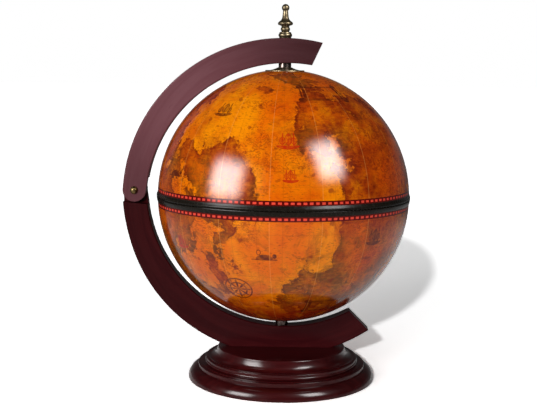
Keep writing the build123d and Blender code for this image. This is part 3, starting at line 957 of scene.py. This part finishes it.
    def dashed_borders(self, graph: Graph, colour: Wire, z: Wire, longitude: Wire) -> Wire:
        """Lay the maroon borders with their coral dashes beside the rims.

        Args:
            graph: The material under way.
            colour: Colour so far.
            z: Height on the unit globe.
            longitude: Longitude in radians.

        Returns:
            The colour.
        """
        level = z * GLOBE_RADIUS
        pace = graph.math("FRACT", longitude * (self.dashes / math.tau))
        dash = graph.fall(abs(pace - 0.5), 0.27, 0.32)
        for low, high in self.borders:
            off, half = abs(level - (low + high) / 2), (high - low) / 2
            colour = graph.layers(
                colour, (graph.fall(off, half - self.fade, half + self.fade), self.maroon),
                (graph.fall(off, *self.dash) * dash, self.coral))
        return colour


# ---------------------------------------------------------------- mesh helpers
def arc(centre: Point, radius: float, start: float, stop: float, steps: int) -> list[Point]:
    """Follow an arc.

    Args:
        centre: Radius and height of the arc's centre.
        radius: Its radius.
        start: First angle from the outward direction, in degrees.
        stop: Last angle.
        steps: Number of chords.

    Returns:
        Radius and height of each point, both ends included.
    """
    turns = [math.radians(start + (stop - start) * i / steps) for i in range(steps + 1)]
    return [(centre[0] + radius * math.cos(a), centre[1] + radius * math.sin(a)) for a in turns]


def through(curve: Curve, steps: int) -> list[Point]:
    """Follow the circle through three points.

    Args:
        curve: First, middle and last point.
        steps: Number of chords.

    Returns:
        Radius and height of each point, both ends included.
    """
    (ax, ay), (bx, by), (cx, cy) = curve
    d = 2 * (ax * (by - cy) + bx * (cy - ay) + cx * (ay - by))
    a2, b2, c2 = ax * ax + ay * ay, bx * bx + by * by, cx * cx + cy * cy
    x = (a2 * (by - cy) + b2 * (cy - ay) + c2 * (ay - by)) / d
    y = (a2 * (cx - bx) + b2 * (ax - cx) + c2 * (bx - ax)) / d
    start, middle, stop = (math.degrees(math.atan2(p[1] - y, p[0] - x)) for p in curve)
    middle = start + math.remainder(middle - start, 360.0)
    stop = middle + math.remainder(stop - middle, 360.0)
    return arc((x, y), math.hypot(ax - x, ay - y), start, stop, steps)


def eased(points: Sequence[Point], steps: int) -> list[Point]:
    """Follow a smooth line through a few points.

    Args:
        points: Radius and height of each.
        steps: Number of chords between two of them.

    Returns:
        Radius and height of each point, both ends included.
    """
    ends = [points[0], *points, points[-1]]
    out: list[Point] = []
    for i in range(1, len(ends) - 2):
        p0, p1, p2, p3 = (Vector(p) for p in ends[i - 1:i + 3])
        for k in range(steps):
            t = k / steps
            v = 0.5 * (2 * p1 + (p2 - p0) * t + (2 * p0 - 5 * p1 + 4 * p2 - p3) * t * t
                       + (3 * p1 - p0 - 3 * p2 + p3) * t ** 3)
            out.append((v.x, v.y))
    return [*out, points[-1]]


class Workshop:
    """Turns bmeshes into finished pieces on their CAD bodies."""

    @staticmethod
    def lathe(profile: Iterable[Point], segments: int, closed: bool = False
              ) -> bmesh.types.BMesh:
        """Spin a profile about Z.

        Args:
            profile: Radius and height of its points, in millimetres.
            segments: Steps round the axis.
            closed: True where the last point joins the first.

        Returns:
            The turned mesh, in metres.
        """
        bm = bmesh.new()
        verts = [bm.verts.new((radius * MM, 0.0, height * MM)) for radius, height in profile]
        pairs = list(zip(verts, verts[1:]))
        if closed:
            pairs.append((verts[-1], verts[0]))
        edges = [bm.edges.new(pair) for pair in pairs]
        bmesh.ops.spin(bm, geom=[*verts, *edges], cent=(0, 0, 0), axis=(0, 0, 1),
                       dvec=(0, 0, 0), angle=math.tau, steps=segments, use_merge=True,
                       use_normal_flip=False, use_duplicate=False)
        bmesh.ops.remove_doubles(bm, verts=bm.verts, dist=1e-7)
        bmesh.ops.dissolve_degenerate(bm, edges=bm.edges, dist=1e-8)
        bmesh.ops.recalc_face_normals(bm, faces=bm.faces)
        return bm

    @staticmethod
    def finish(bm: bmesh.types.BMesh, name: str, crease: float) -> bpy.types.Object:
        """Make an object of a bmesh, smooth but for edges sharper than the crease angle.

        Args:
            bm: The mesh, which is freed.
            name: Name of the piece.
            crease: Degrees beyond which an edge stays sharp.

        Returns:
            The object, linked to the scene.
        """
        for face in bm.faces:
            face.smooth = True
        for edge in bm.edges:
            if len(edge.link_faces) == 2:
                edge.smooth = edge.calc_face_angle(0.0) < math.radians(crease)
        mesh = bpy.data.meshes.new(name)
        bm.to_mesh(mesh)
        bm.free()
        piece = bpy.data.objects.new(name, mesh)
        bpy.context.scene.collection.objects.link(piece)
        return piece

    @classmethod
    def mount(cls, bm: bmesh.types.BMesh, name: str, crease: float, body: str, node: str,
              slot: str, *materials: bpy.types.Material) -> None:
        """Finish and dress a piece, let it ride on its body and stand for its CAD node.

        Args:
            bm: The mesh, which is freed.
            name: Name of the piece.
            crease: Degrees beyond which an edge stays sharp.
            body: CAD body that it rides on.
            node: CAD node that it stands for.
            slot: Its paint slot; not used.
            *materials: Its finishes, in the order of the faces' material index.
        """
        piece = cls.finish(bm, name, crease)
        for material in materials:
            piece.data.materials.append(material)
        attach(piece, body)
        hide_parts(node)
        LOG.info("piece %s stands for %s on %s (%d faces)", piece.name, node, body,
                 len(piece.data.polygons))


def dress(nodes: Nodes, material: bpy.types.Material, *names: str) -> None:
    """Give CAD nodes that keep their own shape a finish.

    Args:
        nodes: All the CAD nodes.
        material: The finish.
        *names: Names of the nodes that wear it.
    """
    for name in names:
        node = nodes[name]
        if not node.data.materials:
            node.data.materials.append(material)
        for slot in node.material_slots:
            slot.link = "OBJECT"
            slot.material = material
        LOG.info("node %s wears %s", name, material.name)


# ---------------------------------------------------------------- sub-assemblies
@dataclass
class TurnedBase:
    """Round moulded base: quarter-round foot, two steps, reed, cove and top disc."""

    ovolo_centre: Point = (110.1, 1.2)
    ovolo: float = 14.1
    foot: float = 123.4
    step: Point = (111.1, 20.2)
    neck: float = 106.5
    cap_foot: float = 21.3
    reed: Curve = ((100.9, 21.5), (101.9, 23.3), (100.9, 25.0))
    fillet: float = 27.6
    quirk: Point = (97.4, 28.2)
    cove: Curve = ((97.4, 29.1), (89.9, 30.5), (86.6, 34.4))
    disc: Curve = ((84.8, 40.2), (84.3, 41.4), (83.0, 42.0))
    felt_radius: float = 107.0
    felt_depth: float = 2.0
    soft: float = 0.5
    segments: int = 192
    crease: float = 40.0

    def plinth(self) -> bmesh.types.BMesh:
        """Turn the lower disc with the quarter-round and the two steps.

        Returns:
            The mesh.
        """
        top = math.degrees(math.acos((self.step[0] - self.ovolo_centre[0]) / self.ovolo))
        corner = (self.step[0] - self.soft, self.step[1] - self.soft)
        profile = [(0.0, self.felt_depth), (self.felt_radius, self.felt_depth),
                   (self.felt_radius, 0.0), (self.foot, 0.0),
                   *arc(self.ovolo_centre, self.ovolo, 0, top, 26),
                   *arc(corner, self.soft, 0, 90, 4), (self.neck, self.step[1]),
                   (self.neck, self.cap_foot), (0.0, self.cap_foot)]
        return Workshop.lathe(profile, self.segments)

    def cap(self) -> bmesh.types.BMesh:
        """Turn the upper disc with the reed, the fillet, the cove and the flat top.

        Returns:
            The mesh.
        """
        corner = (self.reed[2][0] - self.soft, self.fillet)
        profile = [(0.0, self.cap_foot), (self.reed[0][0], self.cap_foot),
                   *through(self.reed, 8), *arc(corner, self.soft, 0, 90, 4), self.quirk,
                   *through(self.cove, 14), *through(self.disc, 6), (0.0, self.disc[2][1])]
        return Workshop.lathe(profile, self.segments)

    def build(self, nodes: Nodes) -> None:
        """Make both discs and dress the felt.

        Args:
            nodes: All the CAD nodes.
        """
        wood = Mahogany(WoodTone.TURNED, Grain.TURNED, 0.34, 0.7, 0.12).make("mahogany_turned")
        for name, mesh in (("plinth", self.plinth()), ("cap", self.cap())):
            Workshop.mount(mesh, f"turned_{name}", self.crease, "stand", f"base_{name}",
                           "mahogany", wood)
        dress(nodes, Felt().make("green_felt"), "base_felt")


@dataclass
class Arms:
    """The two half arms and the screws, nuts and washers on them."""

    def build(self, nodes: Nodes) -> None:
        """Dress the sawn arms and their hardware, which keep the CAD shape.

        Args:
            nodes: All the CAD nodes.
        """
        dress(nodes, Mahogany(WoodTone.DARK, Grain.BENT, 0.36, 0.14).make("mahogany_dark"),
              "lower_arm")
        # The upper arm wears a painted sheen: a lighter tone, with painted shade at both ends.
        dress(nodes, Mahogany(WoodTone.WARM_PAINTED_SHEEN, Grain.BENT, 0.42, 0.18).make("mahogany_painted_sheen"),
              "upper_arm")
        steel = Metal(paint(176, 176, 172), paint(120, 118, 112), 0.3, 0.3)
        dress(nodes, steel.make("zinc_steel"), "arm_screws", "pivot_washer", "pivot_cap_nut",
              "upper_washer", "upper_lock_nut", "lower_washer", "lower_lock_nut",
              "upper_pole_rod")
        bronze = Metal(paint(118, 100, 62), paint(50, 42, 26), 0.5, 0.3)
        dress(nodes, bronze.make("bronzed_steel"), "pivot_bolt")
        fibre = Felt(paint(70, 26, 16), paint(110, 50, 30))
        dress(nodes, fibre.make("red_fibre"), "friction_washer")


@dataclass
class PoleHardware:
    """Finial, flange and bushes on the globe's axis; the finial is drawn from its seat up."""

    seat: float = GLOBE_CENTRE + 205.0
    foot: Point = (7.6, 8.0)                # radius, and the height where its ring ends
    ring: Curve = ((7.9, 2.2), (8.9, 4.4), (7.9, 6.6))
    vase: Curve = ((4.6, 9.2), (6.1, 12.0), (4.9, 14.8))
    shoulder: Point = (5.6, 16.4)
    disc: Curve = ((9.0, 17.6), (9.8, 19.6), (8.6, 21.4))
    stem: tuple[Point, ...] = ((8.6, 21.4), (5.3, 24.4), (4.0, 28.6))
    neck: float = 3.3
    ball: Point = (39.4, 4.9)               # height and radius
    flange_top: float = GLOBE_CENTRE + 168.0
    flange_radius: float = 25.6
    hub_radius: float = 9.0
    dish: Point = (16.5, 2.1)               # radius and rise of its middle
    rise: float = 1.4                       # of the raised edge, as its width
    width: float = 1.6
    drop: float = 0.3                       # of the dish from that edge
    segments: int = 72
    crease: float = 38.0

    def finial(self) -> bmesh.types.BMesh:
        """Turn a ball over a necked vase, a disc, a bead and a ringed foot.

        Returns:
            The mesh.
        """
        middle, radius = self.ball
        neck = middle - math.sqrt(radius ** 2 - self.neck ** 2)
        start = math.degrees(math.atan2(neck - middle, self.neck))
        profile = [(0.0, 0.0), (self.foot[0], 0.0), *through(self.ring, 8), self.foot,
                   *through(self.vase, 8), self.shoulder, *through(self.disc, 8),
                   *eased([*self.stem, (self.neck, neck)], 6)[1:-1],
                   *arc((0.0, middle), radius, start, 90, 16)]
        return Workshop.lathe([(out, self.seat + up) for out, up in profile], self.segments)

    def flange(self) -> bmesh.types.BMesh:
        """Turn the dished flange with a raised edge, hollow to the globe below.

        Returns:
            The mesh.
        """
        outer = self.flange_radius
        foot = GLOBE_CENTRE + math.sqrt(GLOBE_RADIUS ** 2 - outer ** 2)
        top = math.degrees(math.acos(outer / GLOBE_RADIUS))
        under = arc((0.0, GLOBE_CENTRE), GLOBE_RADIUS, 90, top, 6)
        half = self.width / 2
        roll = arc((outer - half, foot + self.rise - half), half, 0, 180, 8)
        dish = through(((outer - self.width, foot + self.rise - self.drop),
                        (self.dish[0], foot + self.dish[1]),
                        (self.hub_radius, self.flange_top)), 12)
        profile = [*under, *roll, *dish, (0.0, self.flange_top)]
        return Workshop.lathe(profile, self.segments)

    def build(self, nodes: Nodes) -> None:
        """Make the turned brass and dress the bushes and bolts.

        Args:
            nodes: All the CAD nodes.
        """
        brass = Metal(paint(104, 93, 73), paint(66, 57, 43), 0.5, 0.38).make("antique_brass")
        Workshop.mount(self.finial(), "turned_finial", self.crease, "upper_arm", "finial",
                       "antique_brass", brass)
        Workshop.mount(self.flange(), "dished_flange", self.crease, "upper_globe",
                       "upper_flange", "antique_brass", brass)
        dark = Metal(paint(96, 84, 80), paint(40, 34, 31), 0.5, 0.24)
        dress(nodes, dark.make("dark_bush"), "upper_spacer", "lower_spacer", "lower_pole_bolt")


class Half(IntEnum):
    """The two halves of the globe, with the way in which each one lies from the cut."""

    UPPER = 1
    LOWER = -1


@dataclass
class GlobeHalves:
    """The two printed shells and their black rims."""

    wall: float = 4.0
    gap: float = 0.6
    # radius of each point of a rim's edge, and its distance from the face
    edges: dict[Half, tuple[Point, ...]] = field(default_factory=lambda: {
        Half.UPPER: ((165.6, 0.0), (166.2, 0.25), (166.38, 0.8), (166.38, 2.5), (166.25, 2.85),
                     (165.9, 3.1), (165.75, 3.3)),
        Half.LOWER: ((165.6, 0.0), (166.2, 0.25), (166.38, 0.8), (166.3, 1.6))})
    bore: float = 152.0
    spigot: float = 159.2
    spigot_tip: dict[Half, float] = field(
        default_factory=lambda: {Half.UPPER: 14.5, Half.LOWER: 18.5})
    rim_height: float = 6.5
    lap: float = 0.2                        # of the rims over the shells
    lap_soft: Point = (0.15, 0.3)           # its softened corner
    ledge: float = 155.8
    tray_bottom: float = 12.0
    hole: float = 4.05
    segments: int = 224
    rings: int = 72
    creases: Point = (50.0, 40.0)           # of the shells and of the rims

    def meridian(self, half: Half, radius: float) -> list[Point]:
        """Follow one side of a shell's wall from its mouth to its pole's hole.

        Args:
            half: The half of the globe.
            radius: Radius of that side.

        Returns:
            Radius and height of each point.
        """
        start = math.asin(half * self.rim_height / radius)
        stop = half * math.acos(self.hole / radius)
        return arc((0.0, GLOBE_CENTRE), radius, math.degrees(start), math.degrees(stop),
                   self.rings)

    def shell(self, half: Half) -> bmesh.types.BMesh:
        """Turn half a globe with its wall, from the cut to the pole.

        Args:
            half: The half of the globe.

        Returns:
            The mesh; faces of the lining carry material index 1.
        """
        outer = self.meridian(half, GLOBE_RADIUS)
        inner = self.meridian(half, GLOBE_RADIUS - self.wall)
        bm = Workshop.lathe([*outer, *reversed(inner)], self.segments, closed=True)
        middle = (GLOBE_RADIUS - self.wall / 2) * MM
        for face in bm.faces:
            reach = (face.calc_center_median() - Vector(CENTRE)).length
            face.material_index = 1 if reach < middle else 0
        return bm

    def rim(self, half: Half) -> bmesh.types.BMesh:
        """Turn the black ring in a shell's mouth, the upper one with its bead.

        Args:
            half: The half of the globe.

        Returns:
            The mesh.
        """
        face = GLOBE_CENTRE + half * self.gap / 2
        shoulder = GLOBE_CENTRE + half * self.rim_height
        tip = GLOBE_CENTRE + half * self.spigot_tip[half]
        seat = GLOBE_CENTRE - self.tray_bottom
        lap = math.sqrt(GLOBE_RADIUS ** 2 - self.rim_height ** 2) + self.lap
        outer = [*((out, face + half * rise) for out, rise in self.edges[half]),
                 (lap + self.lap_soft[0], shoulder - half * self.lap_soft[1]), (lap, shoulder),
                 (self.spigot, shoulder), (self.spigot, tip), (self.bore, tip)]
        inner = {Half.UPPER: [(self.bore, face)],
                 Half.LOWER: [(self.bore, seat), (self.ledge, seat), (self.ledge, face)]}
        return Workshop.lathe([*outer, *inner[half]], self.segments, closed=True)

    def build(self, nodes: Nodes) -> None:
        """Make the shells and rims, and dress what lies inside them.

        Args:
            nodes: All the CAD nodes.
        """
        printed = MapPrint().make("map_print")
        lining = LiningPaper().make("paper_lining")
        black = BlackLacquer().make("black_lacquer")
        for half in Half:
            side = half.name.lower()
            Workshop.mount(self.shell(half), f"{side}_shell", self.creases[0],
                           f"{side}_globe", f"{side}_hemisphere", "map_print", printed, lining)
            Workshop.mount(self.rim(half), f"{side}_rim_ring", self.creases[1],
                           f"{side}_globe", f"{side}_rim", "black_rim", black)
        dress(nodes, TrayVeneer().make("walnut_veneer"), "glass_tray", "glass_shelf",
              "rack_posts", "pole_block", "crown_block")


# ---------------------------------------------------------------- studio
@dataclass
class Studio:
    """Floor, world, lamps and camera, in metres and degrees."""

    target: Vector = field(default_factory=lambda: Vector(CENTRE))
    camera_distance: float = 1.400
    camera_rise: float = 0.1618
    pitch: float = 7.108
    yaw: float = -0.79
    roll: float = 0.65
    lens: float = 71.49
    sensor: float = 36.0
    clip: Point = (0.05, 60.0)
    # name, azimuth, elevation, then strength and angle, or size and watts
    suns: tuple[tuple[str, float, float, float, float], ...] = (
        ("key_sun", -10.8, 17.5, 2.2, 1.8), ("soft_sun", -28.0, 16.0, 1.08, 30.0))
    panels: tuple[tuple[str, float, float, Point, float], ...] = (
        ("left_panel", -51.2, 16.4, (1.08, 1.1), 112.0),
        ("right_panel", 44.3, 33.4, (0.86, 1.16), 96.0))
    panel_distance: float = 1.5
    panel_fade: float = 0.36                # share of a panel that its soft edge takes
    floor_size: float = 30.0
    floor_white: float = 2.22
    floor_lit: float = 0.5
    floor_mirrored: Point = (1.3, 0.2)      # near and far
    floor_reach: Point = (0.5, 1.6)
    wall: float = 0.13                      # behind the object, only mirrored
    gloom: float = 0.02                     # mirrored from everywhere else
    ambient: Point = (0.32, 0.16)           # from the left and from the right

    def camera(self) -> None:
        """Place the camera and aim it by pitch, yaw and roll."""
        pitch, yaw, roll = (math.radians(a) for a in (self.pitch, self.yaw, self.roll))
        ahead = Vector((math.sin(yaw) * math.cos(pitch), math.cos(yaw) * math.cos(pitch),
                        -math.sin(pitch)))
        right = ahead.cross(Vector((0, 0, 1))).normalized()
        up = right.cross(ahead)
        side = math.cos(roll) * right + math.sin(roll) * up
        top = -math.sin(roll) * right + math.cos(roll) * up
        data = bpy.data.cameras.new("studio_camera")
        data.lens, data.sensor_width, data.sensor_fit = self.lens, self.sensor, "HORIZONTAL"
        data.clip_start, data.clip_end = self.clip
        camera = bpy.data.objects.new("studio_camera", data)
        place = self.target + Vector((0, -self.camera_distance, self.camera_rise))
        turn = Matrix((side, top, -ahead)).transposed().to_4x4()
        camera.matrix_world = Matrix.Translation(place) @ turn
        bpy.context.scene.collection.objects.link(camera)
        bpy.context.scene.camera = camera

    def lamp(self, name: str, kind: str, azimuth: float, elevation: float, distance: float
             ) -> bpy.types.Object:
        """Hang a lamp that looks at the globe.

        Args:
            name: The lamp's name.
            kind: Its type.
            azimuth: Degrees round the object, 0 at the front and positive to the right.
            elevation: Degrees over the globe's centre.
            distance: Metres from the globe's centre.

        Returns:
            The lamp.
        """
        a, e = math.radians(azimuth), math.radians(elevation)
        away = Vector((math.sin(a) * math.cos(e), -math.cos(a) * math.cos(e), math.sin(e)))
        lamp = bpy.data.objects.new(name, bpy.data.lights.new(name, kind))
        turn = away.to_track_quat("Z", "Y").to_matrix().to_4x4()
        lamp.matrix_world = Matrix.Translation(self.target + away * distance) @ turn
        bpy.context.scene.collection.objects.link(lamp)
        return lamp

    def lamps(self) -> None:
        """Hang two suns for form and shadow, and two soft panels that only varnish mirrors."""
        for name, azimuth, elevation, strength, angle in self.suns:
            sun = self.lamp(name, "SUN", azimuth, elevation, 0.0)
            sun.data.energy, sun.data.angle = strength, math.radians(angle)
            sun.visible_glossy = False
        for name, azimuth, elevation, (wide, high), power in self.panels:
            panel = self.lamp(name, "AREA", azimuth, elevation, self.panel_distance)
            panel.data.shape, panel.data.energy = "RECTANGLE", power
            panel.data.size, panel.data.size_y = wide, high
            panel.visible_camera = panel.visible_diffuse = False
            self.soften(panel.data)

    def soften(self, lamp: bpy.types.AreaLight) -> None:
        """Let a panel's light fade towards its edges, as behind stretched cloth.

        Args:
            lamp: The panel's light.
        """
        lamp.use_nodes = True
        wiring = Wiring(lamp.node_tree)
        glow = next(node for node in lamp.node_tree.nodes if node.type == "EMISSION")
        place = wiring.fill(wiring.add("ShaderNodeNewGeometry"), "Parametric")
        across, up = (wiring.step(wiring.math("PINGPONG", along, 0.5), 0.0, self.panel_fade)
                      for along in wiring.axes(place)[:2])
        wiring.fill(glow, Strength=across * up)

    def floor(self) -> None:
        """Lay a pale floor that shows white where it is lit and keeps the object's shadow."""
        bm = bmesh.new()
        bmesh.ops.create_grid(bm, x_segments=1, y_segments=1, size=self.floor_size)
        floor = Workshop.finish(bm, "studio_floor", 0.0)
        graph = Graph("pale_floor")
        camera, mirrored, _ = graph.rays()
        x, y, _ = graph.axes(graph.here())
        white, lit, near, far = ((level,) * 3 for level in (
            self.floor_white, self.floor_lit, *self.floor_mirrored))
        glare = graph.mix(graph.step(graph.length(x, y), *self.floor_reach), near, far)
        graph.surface(Base_Color=graph.layers(lit, (mirrored, glare), (camera, white)),
                      Roughness=1.0, Specular_IOR_Level=0.0)
        floor.data.materials.append(graph.material)

    def world(self) -> None:
        """Set up a dim studio with a white backdrop, which the camera sees."""
        world = bpy.data.worlds.new("studio_world")
        bpy.context.scene.world = world
        world.use_nodes = True
        wiring = Wiring(world.node_tree)
        wiring.tree.nodes.clear()
        place = wiring.fill(wiring.add("ShaderNodeTexCoord"), "Generated")
        right, behind, above = wiring.axes(place)
        camera, mirrored, diffuse = wiring.rays()
        wall = (wiring.step(behind, 0.1, 0.85, 0.0, self.wall)
                * wiring.step(above, 0.1, 0.3, 1.0, 0.08))
        soft = wiring.step(right, -0.9, 0.9, *self.ambient) * diffuse
        level = wiring.most((wall + self.gloom) * mirrored, soft, camera)
        shade = wiring.fill(wiring.add("ShaderNodeBackground"), Color=(1.0, 1.0, 1.0),
                            Strength=level)
        wiring.feed(wiring.add("ShaderNodeOutputWorld").inputs["Surface"], shade)

    def build(self) -> None:
        """Set up the whole studio."""
        bpy.context.scene.view_settings.view_transform = "Standard"
        self.camera()
        self.world()
        self.floor()
        self.lamps()


def main() -> None:
    """Build the globe bar and its studio."""
    logging.basicConfig(level=logging.INFO, format="%(message)s")
    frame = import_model()
    nodes = frame["nodes"]
    Studio().build()
    for assembly in (TurnedBase(), Arms(), PoleHardware(), GlobeHalves()):
        LOG.info("building %s", type(assembly).__name__)
        assembly.build(nodes)


if __name__ == "__main__":
    main()
